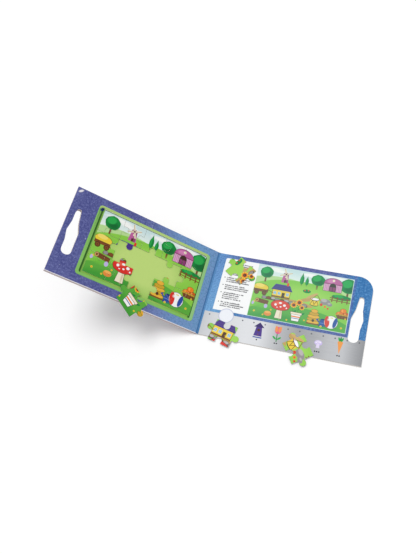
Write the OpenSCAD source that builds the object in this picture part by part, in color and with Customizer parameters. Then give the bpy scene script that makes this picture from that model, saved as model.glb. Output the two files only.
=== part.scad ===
// Magnetic jigsaw puzzle in a folding board case.
// The cover lies flat on the table, the puzzle tray leans up from the fold.
// Millimetres. X runs from the fold along the cover, Y from the near edge to the far edge, Z up.

/* [Case] */
// Width of one panel, from the middle of the fold to its outer edge
panel_w = 275; // [260:1:300]
// Depth of a panel, near edge to far edge
panel_d = 160; // [158:1:180]
// Lean of the tray above the table
lean = 33.8; // [20:0.1:45]
// Width of the soft gutter at the fold, which is also the gap between the shut panels
gutter = 2.8; // [2.6:0.1:4]
// Radius of the cover's far outer corner
cover_corner_r = 26; // [15:1:35]

/* [Board and paper] */
// Thickness of a printed paper face
print_t = 0.3; // [0.2:0.05:0.4]
// Thickness of the cover's grey board
cover_board_t = 2.4; // [2:0.1:3]
// Thickness of the board ring round the recess
frame_board_t = 2.1; // [1.8:0.1:3]
// Thickness of the light core board under the recess
core_board_t = 2; // [1.5:0.1:3]
// Thickness of the tray's back board
back_board_t = 2.3; // [1.5:0.1:3]
// How far the core board stays inside the cut edges, which leaves a thin dark groove
core_inset = 0.6; // [0.3:0.1:1.5]

/* [Recess and rim] */
// Near edge of the recess
recess_y = 19.8; // [18:0.1:21]
// Depth of the recess, near side to far side
recess_d = 121.9; // [121.6:0.1:124]
// Edge of the recess nearest to the fold
recess_x = 21.8; // [19:0.1:23]
// Width of the recess
recess_w = 203.2; // [201:0.1:206]
// Radius of the recess corners
recess_r = 3; // [2:0.5:4]
// Width of the green rim at the fold side
rim_fold_w = 5.6; // [4:0.1:7]
// Width of the green rim at the outer side
rim_outer_w = 5.5; // [4:0.1:7]
// Width of the green rim along the near and far sides
rim_side_w = 4.7; // [4:0.1:6]
// Radius of the rim's outer corners
rim_r = 6; // [3:0.5:8]
// Height of the rim above the printed face
rim_h = 0.4; // [0.2:0.1:0.6]
// Thickness of the rim's lining down the recess wall
rim_wall_t = 0.4; // [0.3:0.1:0.6]
// Thickness of the tinplate sheet in the recess
steel_t = 0.12; // [0.1:0.01:0.2]
// Thickness of the green paper on the tinplate
base_t = 0.15; // [0.1:0.01:0.2]

/* [Puzzle pieces] */
// Pieces across
cols = 5; // [5:1:5]
// Pieces down
rows = 3; // [3:1:3]
// Width of one piece without its knobs
piece_w = 39.4; // [39.2:0.1:39.8]
// Height of one piece without its knobs
piece_d = 39; // [38.8:0.1:39.2]
// Thickness of the flexible magnet
magnet_t = 0.6; // [0.4:0.1:0.8]
// Gap between neighbours
piece_gap = 0.3; // [0.2:0.05:0.5]
// Radius of a knob's head
knob_r = 5.8; // [5:0.1:6.2]
// Distance of the knob's head centre from the edge
knob_reach = 4.9; // [4.5:0.1:5.4]
// Radius of the fillet at the knob's neck
neck_r = 1.6; // [1.2:0.1:2]
// Gap between the near row and the rim
near_gap = 4.2; // [4:0.1:5]
// Gap between the fold column and the rim
fold_gap = 1; // [0.6:0.1:1.4]

/* [Hidden] */
$fn = 48;
overlap = 0.5;
crease_gap = 0.15;
table_gap = 0.3;
cover_t = cover_board_t + 2 * print_t;
tray_t = frame_board_t + core_board_t + back_board_t + 2 * print_t;
recess_depth = print_t + frame_board_t;
half_gutter = gutter / (2 * cos(lean / 2));
slot_clear = 0.25;

sky_blue = [0.37, 0.57, 0.80];
indigo = [0.33, 0.33, 0.60];
grass = [0.45, 0.75, 0.32];
pale_grass = [0.69, 0.84, 0.47];
grey_board = [0.74, 0.71, 0.65];
night_print = [0.17, 0.21, 0.46];
magnet_brown = [0.16, 0.13, 0.12];

// Hand slot, the same in both panels: distance from the fold, distance from the near edge, corner radius.
slot_outline = [
    [255.2, 121.5, 2.5], [251.8, 98, 20], [246.3, 80.5, 5], [246.3, 37.8, 8.5], [263.9, 37.8, 8.5],
    [263.9, 62, 15], [267, 79.5, 8], [263.9, 97, 15], [263.9, 112, 10], [262.2, 121.5, 3.5]
];

// Nick in the rim, from the recess's far outer corner.
nick_outline = [[-1.9, -6.4], [2.6, -5.2], [3.8, 0.9], [-1.4, -2]];

// How far each knob sits off the middle of its edge. Edges between columns, then edges between rows.
column_shift = [[1.5, -2, 2.5, -1], [3, -1, 1, -2], [-2, 0, -0.5, 2]];
row_shift = [[-2, 1, 2, -1.5, 2], [1.5, -1, 4.5, 1, -2]];

// Loose pieces lying on a panel: row, column, centre from the fold, centre from the near edge, turn.
loose_on_cover = [[2, 2, 42.5, 9.8, -13], [2, 3, 45, 131, 55], [2, 4, 171, 8, -56]];
loose_on_tray = [[3, 3, -126, 8.5, -36]];

function unit(v) = v / norm(v);

// Arc that rounds one corner of an outline, from its two neighbours and its radius.
function round_corner(before, at, after, r, steps) =
    let (
        in_dir = unit(before - at),
        out_dir = unit(after - at),
        half = acos(in_dir * out_dir) / 2,
        centre = at + unit(in_dir + out_dir) * r / sin(half),
        first = at + in_dir * r / tan(half) - centre,
        last = at + out_dir * r / tan(half) - centre,
        a0 = atan2(first[1], first[0]),
        turn = atan2(first[0] * last[1] - first[1] * last[0], first * last)
    )
    [for (i = [0:steps]) centre + r * [cos(a0 + turn * i / steps), sin(a0 + turn * i / steps)]];

// Closed outline from corners given as x, y, radius.
function rounded(corners, steps = 8) =
    let (n = len(corners))
    [for (i = [0:n - 1])
        let (
            b = corners[(i + n - 1) % n],
            c = corners[i],
            a = corners[(i + 1) % n]
        )
        each c[2] > 0
            ? round_corner([b[0], b[1]], [c[0], c[1]], [a[0], a[1]], c[2], steps)
            : [[c[0], c[1]]]];

module rounded_box(x0, y0, x1, y1, r) {
    polygon(rounded([[x0, y0, r], [x1, y0, r], [x1, y1, r], [x0, y1, r]]));
}

module slab(z0, z1) {
    translate([0, 0, z0]) linear_extrude(z1 - z0) children();
}

// Row frame: the middle of the cover's table face is the origin.
module on_case() {
    translate([-panel_w / 2, -panel_d / 2, 0]) children();
}

// Cover frame: the fold's middle line is X 0, the inner printed face is Z 0.
module on_cover() {
    on_case() translate([0, 0, cover_t]) children();
}

// Tray frame: like the cover's, with the tray on the minus X side, then leaned up.
module on_tray() {
    on_case() translate([0, 0, cover_t]) rotate([0, lean, 0]) children();
}

// Gutter frame: origin at the cover's crease, the gutter on the minus X side, half leaned up.
module on_spine() {
    on_case() translate([half_gutter, 0, cover_t]) rotate([0, lean / 2, 0]) children();
}

module hand_slot(side) {
    points = [for (p = slot_outline) [side * p[0], p[1], p[2]]];
    polygon(rounded(points));
}

module cover_outline() {
    start = half_gutter + crease_gap;
    difference() {
        polygon(rounded([
            [start, 0, 0], [panel_w, 0, 0], [panel_w, panel_d, cover_corner_r], [start, panel_d, 0]
        ], 16));
        hand_slot(1);
    }
}

module cover_board() {
    start = half_gutter + crease_gap + print_t;
    color(grey_board) on_cover() slab(print_t - cover_t, -print_t) intersection() {
        cover_outline();
        translate([start, -overlap]) square([panel_w, panel_d + 2 * overlap]);
    }
}

module cover_inner_print() {
    color(sky_blue) on_cover() slab(-print_t, 0) cover_outline();
}

// The outer paper also turns up the board's edge at the fold.
module cover_outer_wrap() {
    start = half_gutter + crease_gap;
    color(night_print) on_cover() union() {
        slab(-cover_t, print_t - cover_t) cover_outline();
        translate([start, 0, -cover_t]) cube([print_t, panel_d, cover_t - print_t]);
    }
}

module gutter_strip(z0, z1) {
    translate([crease_gap - gutter, 0, z0]) cube([gutter - 2 * crease_gap, panel_d, z1 - z0]);
}

module spine_lining() {
    color(indigo) on_spine() gutter_strip(-print_t, 0);
}

module spine_wrap() {
    color(night_print) on_spine() gutter_strip(-2 * print_t, -print_t);
}

module tray_outline(inset = 0) {
    start = half_gutter + crease_gap;
    difference() {
        translate([inset - panel_w, inset]) square([panel_w - start - inset, panel_d - 2 * inset]);
        hand_slot(-1);
    }
}

module recess_outline(grow) {
    rounded_box(
        -recess_x - recess_w - grow, recess_y - grow,
        -recess_x + grow, recess_y + recess_d + grow, recess_r + grow
    );
}

// Everything below a level face that bevels the tray's fold edge, so that it clears the table.
module under_bevel(height) {
    translate([-2 * tray_t, -panel_d, -4 * tray_t + height - cover_t])
        cube([4 * tray_t, 3 * panel_d, 4 * tray_t]);
}

module tray_board(z0, z1, inset = 0) {
    on_case() difference() {
        translate([0, 0, cover_t]) rotate([0, lean, 0]) slab(z0, z1) difference() {
            tray_outline(inset);
            children();
        }
        translate([0, 0, cover_t]) under_bevel(table_gap + print_t);
    }
}

module tray_inner_print() {
    color(indigo) tray_board(-print_t, 0) recess_outline(rim_wall_t);
}

module tray_frame_board() {
    color(grey_board) tray_board(-recess_depth, -print_t) recess_outline(rim_wall_t);
}

module tray_core_board() {
    color(grey_board) tray_board(-recess_depth - core_board_t, -recess_depth, core_inset);
}

module tray_back_board() {
    color(grey_board) tray_board(print_t - tray_t, -recess_depth - core_board_t);
}

// The outer paper covers the back and climbs the bevel to the fold.
module tray_outer_wrap() {
    bevel_reach = 2 * tray_t;
    color(night_print) on_case() translate([0, 0, cover_t]) {
        difference() {
            rotate([0, lean, 0]) slab(-tray_t, print_t - tray_t) tray_outline();
            under_bevel(table_gap);
        }
    }
    color(night_print) on_case() intersection() {
        translate([0, 0, cover_t]) rotate([0, lean, 0])
            slab(print_t - tray_t, -print_t) intersection() {
                tray_outline();
                translate([-bevel_reach, 0]) square([bevel_reach, panel_d]);
            }
        translate([-bevel_reach, 0, table_gap]) cube([2 * bevel_reach, panel_d, print_t]);
    }
}

// Green paper on a thin board ring, with a lining down the recess wall and one small nick
// at the recess's far outer corner, where the blue sheet shows through.
module tray_rim() {
    far_corner = [-recess_x - recess_w, recess_y + recess_d];
    color(grass) on_tray() difference() {
        union() {
            slab(0, rim_h) rounded_box(
                -recess_x - recess_w - rim_outer_w, recess_y - rim_side_w,
                -recess_x + rim_fold_w, recess_y + recess_d + rim_side_w, rim_r
            );
            slab(-recess_depth, overlap / 2) recess_outline(rim_wall_t);
        }
        slab(-tray_t, tray_t) recess_outline(0);
        slab(-print_t / 2, tray_t) translate(far_corner) polygon(nick_outline);
    }
}

module steel_sheet() {
    color("silver") on_tray() slab(-recess_depth, steel_t - recess_depth) recess_outline(-slot_clear);
}

module tray_base_print() {
    color(pale_grass) on_tray()
        slab(steel_t - recess_depth, steel_t + base_t - recess_depth) recess_outline(-slot_clear);
}

// Knob pointing to plus Y from the line Y 0, grown by e all round: head, and neck with its fillets.
module knob(e) {
    spread = sqrt(pow(knob_r + neck_r, 2) - pow(knob_reach - neck_r, 2));
    head = [0, knob_reach];
    fillet = [spread, neck_r];
    touch = head + unit(fillet - head) * (knob_r + e);
    translate(head) circle(knob_r + e);
    difference() {
        polygon([
            [-spread, e - overlap], [spread, e - overlap], [spread, e],
            touch, [-touch[0], touch[1]], [-spread, e]
        ]);
        for (side = [-1, 1]) translate([side * fillet[0], fillet[1]]) circle(neck_r - e);
    }
}

// A piece has knobs left and right when its row and column add up to an even number,
// and knobs near and far when they add up to an odd one. The other edges have sockets.
module piece_edges(r, c, e, sideways) {
    if (c > 1) translate([-piece_w / 2, column_shift[r - 1][c - 2]]) rotate(sideways ? 90 : -90) knob(e);
    if (c < cols) translate([piece_w / 2, column_shift[r - 1][c - 1]]) rotate(sideways ? -90 : 90) knob(e);
}

module piece_ends(r, c, e, upward) {
    if (r > 1) translate([row_shift[r - 2][c - 1], piece_d / 2]) rotate(upward ? 0 : 180) knob(e);
    if (r < rows) translate([row_shift[r - 1][c - 1], -piece_d / 2]) rotate(upward ? 180 : 0) knob(e);
}

module piece_outline(r, c) {
    half_gap = piece_gap / 2;
    even = (r + c) % 2 == 0;
    difference() {
        union() {
            translate([half_gap - piece_w / 2, half_gap - piece_d / 2])
                square([piece_w - piece_gap, piece_d - piece_gap]);
            if (even) piece_edges(r, c, -half_gap, true);
            else piece_ends(r, c, -half_gap, true);
        }
        if (even) piece_ends(r, c, half_gap, false);
        else piece_edges(r, c, half_gap, false);
    }
}

// Where a piece lies: on the cover, loose on the tray, or seated at home in the recess.
module place_piece(r, c) {
    on_cover_at = [for (p = loose_on_cover) if (p[0] == r && p[1] == c) p];
    on_tray_at = [for (p = loose_on_tray) if (p[0] == r && p[1] == c) p];
    home_x = -recess_x - fold_gap - (cols - c + 0.5) * piece_w;
    home_y = recess_y + near_gap + (rows - r + 0.5) * piece_d;
    if (len(on_cover_at) > 0)
        on_cover() translate([on_cover_at[0][2], on_cover_at[0][3], 0])
            rotate(on_cover_at[0][4]) children();
    else if (len(on_tray_at) > 0)
        on_tray() translate([on_tray_at[0][2], on_tray_at[0][3], rim_h])
            rotate(on_tray_at[0][4]) children();
    else
        on_tray() translate([home_x, home_y, steel_t + base_t - recess_depth]) children();
}

module piece_magnet(r, c) {
    color(magnet_brown) place_piece(r, c) slab(0, magnet_t) piece_outline(r, c);
}

module piece_print(r, c) {
    color(grass * (0.85 + 0.1 * ((r + c) % 3)))
        place_piece(r, c) slab(magnet_t, magnet_t + print_t) piece_outline(r, c);
}

cover_board();
cover_inner_print();
cover_outer_wrap();
spine_lining();
spine_wrap();
tray_inner_print();
tray_frame_board();
tray_core_board();
tray_back_board();
tray_outer_wrap();
tray_rim();
steel_sheet();
tray_base_print();
for (r = [1:rows], c = [1:cols]) {
    piece_print(r, c);
    piece_magnet(r, c);
}
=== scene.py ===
"""Looks of a folding magnetic jigsaw case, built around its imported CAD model.

The cover lies flat, the tray leans up from the fold, and four of the fifteen pieces lie loose.
Sections follow the way the case is put together. Sizes are in millimetres, meshes in metres.
"""

import math

import bpy
import numpy as np
from mathutils import Euler, Matrix, Vector


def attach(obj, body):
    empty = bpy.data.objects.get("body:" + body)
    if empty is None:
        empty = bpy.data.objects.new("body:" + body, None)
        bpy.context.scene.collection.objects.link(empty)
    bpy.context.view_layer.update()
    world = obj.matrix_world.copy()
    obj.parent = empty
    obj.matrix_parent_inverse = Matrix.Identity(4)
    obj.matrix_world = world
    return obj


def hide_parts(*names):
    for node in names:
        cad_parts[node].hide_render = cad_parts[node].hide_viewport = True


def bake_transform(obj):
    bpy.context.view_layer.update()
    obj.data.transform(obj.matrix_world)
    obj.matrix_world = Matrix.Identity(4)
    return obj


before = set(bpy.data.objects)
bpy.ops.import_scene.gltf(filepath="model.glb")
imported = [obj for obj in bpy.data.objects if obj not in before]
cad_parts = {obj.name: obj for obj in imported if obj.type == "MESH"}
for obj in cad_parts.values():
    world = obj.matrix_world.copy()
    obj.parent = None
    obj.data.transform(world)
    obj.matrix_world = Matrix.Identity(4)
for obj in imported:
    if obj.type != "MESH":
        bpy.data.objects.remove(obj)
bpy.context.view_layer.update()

# The view: from above the near edge, about a metre away and turned a little to the left.
# Its place, turn and lens were solved from the panels' corners and edges in the photograph.
view_from = (0.0960, -0.4150, 0.9588)
view_right = (0.9591, 0.2535, -0.1263)
view_up = (-0.1723, 0.8761, 0.4502)
view_back = (0.2248, -0.4100, 0.8839)
focal_pixels = 606.99
photo_height = 554
sensor_width = 36

camera = bpy.data.objects.new("camera", bpy.data.cameras.new("camera"))
camera.data.sensor_fit = "AUTO"
camera.data.sensor_width = sensor_width
camera.data.lens = focal_pixels / photo_height * sensor_width
camera.matrix_world = Matrix([*zip(view_right, view_up, view_back, view_from), (0, 0, 0, 1)])
bpy.context.scene.collection.objects.link(camera)
bpy.context.scene.camera = camera
bpy.context.scene.view_settings.view_transform = "Standard"


# The studio: a seamless white floor under one large soft lamp, almost overhead at the far left,
# and even light from all round. Seen directly or in a gloss, floor and surroundings are plain white.
class Wire:
    """One socket of a shader, with arithmetic: an expression on wires adds its Math nodes."""

    def __init__(self, socket):
        self.socket = socket

    def node(self, kind, settings, values, output=0):
        """Adds a node of any kind to this wire's tree: settings first, then sockets."""
        tree = self.socket.id_data
        made = tree.nodes.new(kind)
        for name, value in settings.items():
            if name == "stops":
                ramp = made.color_ramp
                while len(ramp.elements) < len(value):
                    ramp.elements.new(0.5)
                for element, (position, colour) in zip(ramp.elements, value):
                    element.position = position
                    element.color = colour
            else:
                setattr(made, name, value)
        for name, value in values.items():
            if isinstance(value, Wire):
                tree.links.new(value.socket, made.inputs[name])
            else:
                made.inputs[name].default_value = value
        return Wire(made.outputs[output]) if made.outputs else made

    def calc(self, operation, *others):
        """One Math node on this number and others."""
        values = dict(enumerate((self, *others)))
        return self.node("ShaderNodeMath", {"operation": operation}, values)

    def vector(self, operation, *others):
        """One Vector Math node. LENGTH and DOT_PRODUCT give a number, the others a vector."""
        output = "Value" if operation in ("LENGTH", "DOT_PRODUCT") else "Vector"
        values = dict(enumerate((self, *others)))
        return self.node("ShaderNodeVectorMath", {"operation": operation}, values, output)

    def __add__(self, other):
        return self.calc("ADD", other)

    def __sub__(self, other):
        return self.calc("SUBTRACT", other)

    def __rsub__(self, other):
        return self.calc("MULTIPLY_ADD", -1, other)

    def __mul__(self, other):
        return self.calc("MULTIPLY", other)

    def __neg__(self):
        return self * -1

    def __abs__(self):
        return self.calc("ABSOLUTE")

    def least(self, other):
        return self.calc("MINIMUM", other)

    def most(self, other):
        return self.calc("MAXIMUM", other)

    def inside(self, soft=0.3):
        """1 or more where this distance is below 0, and 0 or less `soft` further out."""
        return self.scaled(-1 / soft, 0.5)

    def scaled(self, gain, offset):
        """This number times a gain plus an offset."""
        return self.calc("MULTIPLY_ADD", gain, offset)

    def mix(self, without, paint):
        """Colour `without` where this mask is 0 or less, and colour `paint` from 1 up."""
        return self.node("ShaderNodeMix", {"data_type": "RGBA"}, {0: self, 6: without, 7: paint}, 2)

    def axis(self, *direction):
        """How far a vector wire reaches along a direction."""
        return self.vector("DOT_PRODUCT", direction)

    def axes(self):
        """The first two numbers of a vector wire."""
        return self.axis(1, 0, 0), self.axis(0, 1, 0)

    def placed(self, centre, turn=0, size=(1, 1, 1)):
        """This place as seen from a centre, turned back by a Euler turn and divided by a size."""
        turns = turn if isinstance(turn, (tuple, Euler)) else (0, 0, math.radians(turn))
        values = {0: self, "Location": centre, "Rotation": turns, "Scale": size}
        return self.node("ShaderNodeMapping", {"vector_type": "TEXTURE"}, values)

    def stretched(self, *size):
        """This place divided by a size, which stretches a pattern on it by as much."""
        return self.placed((0, 0, 0), 0, size)

    def noise(self, scale, detail=3, roughness=0.5):
        """Cloudy noise from 0 to 1, `scale` clouds to the millimetre."""
        values = {"Vector": self, "Scale": scale, "Detail": detail, "Roughness": roughness}
        return self.node("ShaderNodeTexNoise", {}, values)


def rgb(red, green, blue):
    """Linear colour for a shader socket from the 0 to 255 values of a screen."""
    shares = [c / 255 for c in (red, green, blue)]
    return (*[c / 12.92 if c <= 0.04045 else ((c + 0.055) / 1.055) ** 2.4 for c in shares], 1)


def start_tree(owner):
    """Empties an owner's shader tree and returns the wire of its Object coordinates."""
    owner.use_nodes = True
    owner.node_tree.nodes.clear()
    return Wire(owner.node_tree.nodes.new("ShaderNodeTexCoord").outputs["Object"])


def seen_directly(wire):
    """1 for rays from the camera, a gloss or a clear pane, and 0 for rays that carry light."""
    camera_ray, glossy_ray, clear_ray = [
        wire.node("ShaderNodeLightPath", {}, {}, f"Is {kind} Ray")
        for kind in ("Camera", "Glossy", "Transmission")
    ]
    return camera_ray.most(glossy_ray).most(clear_ray)


def new_object(name, points, faces, material, smooth=True):
    """An object at the origin with its place in its mesh, from points in metres."""
    mesh = bpy.data.meshes.new(name)
    mesh.from_pydata([tuple(p) for p in np.asarray(points, float)], [], faces)
    mesh.polygons.foreach_set("use_smooth", np.full(len(mesh.polygons), smooth))
    mesh.materials.append(material)
    mesh.update()
    made = bpy.data.objects.new(name, mesh)
    bpy.context.scene.collection.objects.link(made)
    return made


even_light = 0.54
lamp_toward = Vector((-0.20, 0.19, 0.96))
lamp_power = 1.42
lamp_spread = math.radians(30)
floor_white = 0.9
floor_lift = 0.16
floor_reach = 4.0
floor_drop = 0.0002

world = bpy.data.worlds.new("studio")
bpy.context.scene.world = world
around = start_tree(world)
strength = seen_directly(around) * (1 - even_light) + even_light
surround = around.node("ShaderNodeBackground", {}, {"Color": (1, 1, 1, 1), "Strength": strength})
around.node("ShaderNodeOutputWorld", {}, {"Surface": surround})

lamp = bpy.data.objects.new("soft_lamp", bpy.data.lights.new("soft_lamp", "SUN"))
lamp.data.energy = lamp_power
lamp.data.angle = lamp_spread
lamp.rotation_euler = lamp_toward.to_track_quat("Z", "Y").to_euler()
lamp.location = lamp_toward
bpy.context.scene.collection.objects.link(lamp)

floor_paper = bpy.data.materials.new("floor_paper")
on_floor = start_tree(floor_paper)
lift = seen_directly(on_floor).mix((0, 0, 0, 1), (floor_lift, floor_lift, floor_lift, 1))
floor_values = {
    "Base Color": (floor_white, floor_white, floor_white, 1), "Roughness": 1.0,
    "Specular IOR Level": 0.0, "Emission Color": lift, "Emission Strength": 1.0,
}
floor_surface = on_floor.node("ShaderNodeBsdfPrincipled", {}, floor_values)
on_floor.node("ShaderNodeOutputMaterial", {}, {"Surface": floor_surface})
floor_corners = [
    (x * floor_reach, y * floor_reach, -floor_drop) for x, y in ((-1, -1), (1, -1), (1, 1), (-1, 1))
]
floor = new_object("floor", floor_corners, [(0, 1, 2, 3)], floor_paper)


# The boards: the cover is one sheet of grey board, and the tray is a stack of three, pale, dark
# and pale, die-cut with the hand slot; the middle one's dark tone is painted shade for the line
# between the pale boards. Only their cut edges show, with fibres and pressed layers.
panel_width = 275.0
panel_depth = 160.0
cover_thick = 3.0
lean = math.radians(33.8)
case_corner = Vector((-panel_width / 2, -panel_depth / 2, 0))
cover_frame = Matrix.Translation((case_corner + Vector((0, 0, cover_thick))) / 1000)
tray_frame = cover_frame @ Matrix.Rotation(lean, 4, "Y")
metre_parts = (0.001, 0.001, 0.001)


def seat_on(panel, x=0.0, y=0.0, height=0.0, turn=0.0):
    """The frame of a thing that lies on a panel, from millimetres and degrees in its plane."""
    shift = Matrix.Translation(Vector((x, y, height)) / 1000)
    return panel @ shift @ Matrix.Rotation(math.radians(turn), 4, "Z")


def in_frame(place, seat):
    """Object coordinates as millimetres in a frame."""
    return place.placed(seat.translation, seat.to_euler(), metre_parts)


def panel_material(name, seat):
    """A new material and the wire of places in a frame, in millimetres."""
    material = bpy.data.materials.new(name)
    return material, in_frame(start_tree(material), seat)


def finish(place, colour, roughness, relief=None, depth=0.02, **plain):
    """Ends a material: colour, roughness and a relief `depth` millimetres deep on one shader."""
    values = {"Base Color": colour, "Roughness": roughness, "Specular IOR Level": 0.14}
    values.update({name.replace("_", " "): value for name, value in plain.items()})
    if relief is not None:
        bump = {"Strength": 1.0, "Distance": depth / 1000, "Height": relief}
        values["Normal"] = place.node("ShaderNodeBump", {}, bump)
    surface = place.node("ShaderNodeBsdfPrincipled", {}, values)
    place.node("ShaderNodeOutputMaterial", {}, {"Surface": surface})


def board_material(name, panel, fibre, body, pale):
    """Cut board: layers as stretched noise across the thickness, with short torn fibres."""
    material, place = panel_material(name, panel)
    layers = place.stretched(6, 6, 0.35).noise(1.0, 4, 0.6)
    fibres = place.stretched(0.9, 0.9, 0.12).noise(1.0, 5, 0.7)
    colour = fibres.mix(layers.mix(body, fibre), pale)
    finish(place, colour, 0.9, layers + fibres, 0.12)
    return material


def dress(material, *nodes):
    """Gives CAD nodes, which keep their shape, one material."""
    for node in nodes:
        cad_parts[node].data.materials.clear()
        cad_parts[node].data.materials.append(material)


# Each board's fibre, body and pale tones.
grey_tones = (rgb(178, 174, 168), rgb(220, 217, 212), rgb(240, 238, 234))
light_tones = (rgb(172, 154, 154), rgb(222, 208, 208), rgb(244, 236, 236))
# Painted shade: the core board's tones are dark for the shaded line between the two pale boards.
core_shade_tones = (rgb(58, 48, 50), rgb(84, 72, 74), rgb(112, 100, 100))
light_board = board_material("light_board", tray_frame, *light_tones)
dress(board_material("grey_board", cover_frame, *grey_tones), "cover_board")
dress(light_board, "tray_frame_board", "tray_back_board")
dress(board_material("core_board_painted_shade", tray_frame, *core_shade_tones), "tray_core_board")


# The tray's printed face: one sheet of starry paper, indigo at the outer edge and blue towards
# the fold, laminated, with a window die-cut for the recess.
indigo = rgb(82, 87, 148)
slate_blue = rgb(93, 107, 160)
mid_blue = rgb(104, 128, 180)
sea_blue = rgb(110, 148, 196)
fold_blue = rgb(111, 157, 202)
star_white = rgb(214, 224, 244)
indigo_pale = rgb(142, 150, 206)
indigo_dusk = rgb(40, 44, 104)
paper_edge = rgb(236, 230, 222)
worn_paper = rgb(240, 236, 242)
tray_crease_painted_shade = rgb(66, 112, 164)
nick_blue = rgb(35, 60, 110)
nick_shape = (-224.8, 139.3, 7.2, 8.4)
scuff_shape = (-268.3, 154.2, 9, 4, 42, 1.2)
fold_stops = [
    (0.44, indigo), (0.58, slate_blue), (0.65, mid_blue), (0.74, sea_blue), (0.88, fold_blue),
]


def starry(place, ground, pale, dusk, strength=1.0):
    """Night-sky print: faint clouds, fine dust both paler and darker, and thinly sown stars."""
    haze = place.noise(0.03, 4, 0.6).scaled(0.8 * strength, -0.36 * strength)
    colour = haze.mix(ground, pale)
    dust = place.noise(0.3, 4, 0.8)
    colour = dust.scaled(4.4 * strength, -2.3 * strength).least(0.45).mix(colour, pale)
    colour = dust.scaled(-4.4 * strength, 2.1 * strength).least(0.4).mix(colour, dusk)
    for cells, size in ((0.09, 0.06), (0.21, 0.1)):
        stars = {"Vector": place, "Scale": cells}
        near = place.node("ShaderNodeTexVoronoi", {}, stars, "Distance")
        chance = place.node("ShaderNodeTexVoronoi", {}, stars, "Color").axis(1, 0, 0)
        size_here = chance * (size * 1.6) - size * 0.6
        colour = (near - size_here).inside(0.06).mix(colour, star_white)
    return colour


def cut_edge(place, panel, colour, paper=paper_edge):
    """Keeps the print to the face: sides, whose normal leaves the panel's, show bare paper."""
    normal = place.node("ShaderNodeTexCoord", {}, {}, "Normal")
    facing = normal.axis(*(panel.to_3x3() @ Vector((0, 0, 1))))
    return (0.8 - facing).inside(0.05).mix(paper, colour)


def spot(place, x, y, wide, high, turn):
    """A place about a centre, turned back, in half widths and half heights."""
    if turn:
        values = {"Vector": place, "Center": (x, y, 0), "Angle": -math.radians(turn)}
        place = place.node("ShaderNodeVectorRotate", {"rotation_type": "Z_AXIS"}, values)
    return place.vector("MULTIPLY_ADD", (2 / wide, 2 / high, 0), (-2 * x / wide, -2 * y / high, 0))


def oval(place, x, y, wide, high, turn=0, soft=0.3):
    """Mask of an ellipse: the length of the place divided by the two half axes."""
    gain = min(wide, high) / 2 / soft
    return spot(place, x, y, wide, high, turn).vector("LENGTH").scaled(-gain, gain + 0.5)


def block(place, x, y, wide, high, turn=0, soft=0.3):
    """Mask of a rectangle: how far the place lies past the half width or the half height."""
    past = spot(place, x, y, 2, 2, turn).vector("ABSOLUTE")
    along, up = past.vector("SUBTRACT", (wide / 2, high / 2, 0)).axes()
    return along.most(up).inside(soft)


tray_sheet, place = panel_material("tray_starry_paper", tray_frame)
x, y = place.axes()
across_tray = (x + (y - panel_depth / 2) * 0.2).scaled(1 / panel_width, 1)
toward_fold = place.node("ShaderNodeValToRGB", {"stops": fold_stops}, {0: across_tray})
tray_colour = starry(place, toward_fold, indigo_pale, indigo_dusk, 1.2)
rubbed = place.noise(0.5, 4, 0.7)
scuff = oval(place, *scuff_shape).least(rubbed.scaled(6, -1.5))
worn_edge = (y + rubbed - 1.4).inside(0.5)
tray_colour = scuff.most(worn_edge).mix(tray_colour, worn_paper)
# Painted shade: the print darkens in a strip next to the fold, as if the crease shaded it.
tray_colour = (-3.4 - x).inside(1.5).mix(tray_colour, tray_crease_painted_shade)
under_nick = block(place, *nick_shape, 0, 0.6)
tray_colour = under_nick.mix(cut_edge(place, tray_frame, tray_colour), nick_blue)
finish(place, tray_colour, 0.42, place.noise(1.6, 2), 0.012)
dress(tray_sheet, "tray_inner_print")


# The recess: tinplate that holds the magnets, and on it the paper base sheet, lime green with a
# paler glade in the middle. Its far outer corner shows a dark blue scrap of the sheet below.
recess_fold_x = -21.8
recess_outer_x = -225.0
recess_near_y = 19.8
recess_far_y = 141.7
recess_deep = 2.4
recess_round = 3.0
base_green = rgb(138, 192, 82)
base_glade = rgb(194, 222, 126)
base_wall_painted_shade = rgb(62, 116, 46)
base_wall_painted_shade_wide = 3.4
glade_middle = (-120, 74, 0)
glade_reach = (100, 62, 1e4)
scrap_wide = 3.5
scrap_high = 5.3
base_blade = rgb(150, 196, 92)
navy = rgb(40, 66, 120)
tin_grey = rgb(176, 178, 182)

tinplate, place = panel_material("tinplate", tray_frame)
brushed = place.stretched(30, 0.4, 1).noise(1.0, 3)
finish(place, tin_grey, brushed * 0.2 + 0.25, brushed, 0.004, Metallic=1.0)
dress(tinplate, "steel_sheet")

base_paper, place = panel_material("base_paper", tray_frame)
glade = place.placed(glade_middle, 0, glade_reach).vector("LENGTH")
colour = glade.scaled(-1.7, 1.8).mix(base_green, base_glade)
blades = place.stretched(1.6, 4, 1).noise(1.0, 4, 0.6)
colour = blades.scaled(0.9, -0.5).mix(colour, base_blade)
x, y = place.axes()
# Painted shade: a darker green band along the outer and the fold-side walls, where the walls shade the
# base sheet.
recess_middle = (recess_outer_x + recess_fold_x) / 2
from_wall = recess_fold_x - recess_middle - abs(x - recess_middle)
colour = (from_wall - base_wall_painted_shade_wide).inside(1.5).mix(colour, base_wall_painted_shade)
from_side = x - recess_outer_x
scrap = (from_side - scrap_wide).most(recess_far_y - scrap_high - y + from_side * 0.6)
colour = scrap.inside(0.5).mix(colour, navy)
finish(place, cut_edge(place, tray_frame, colour), 0.5, place.noise(1.8, 2), 0.01)
dress(base_paper, "tray_base_print")


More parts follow.
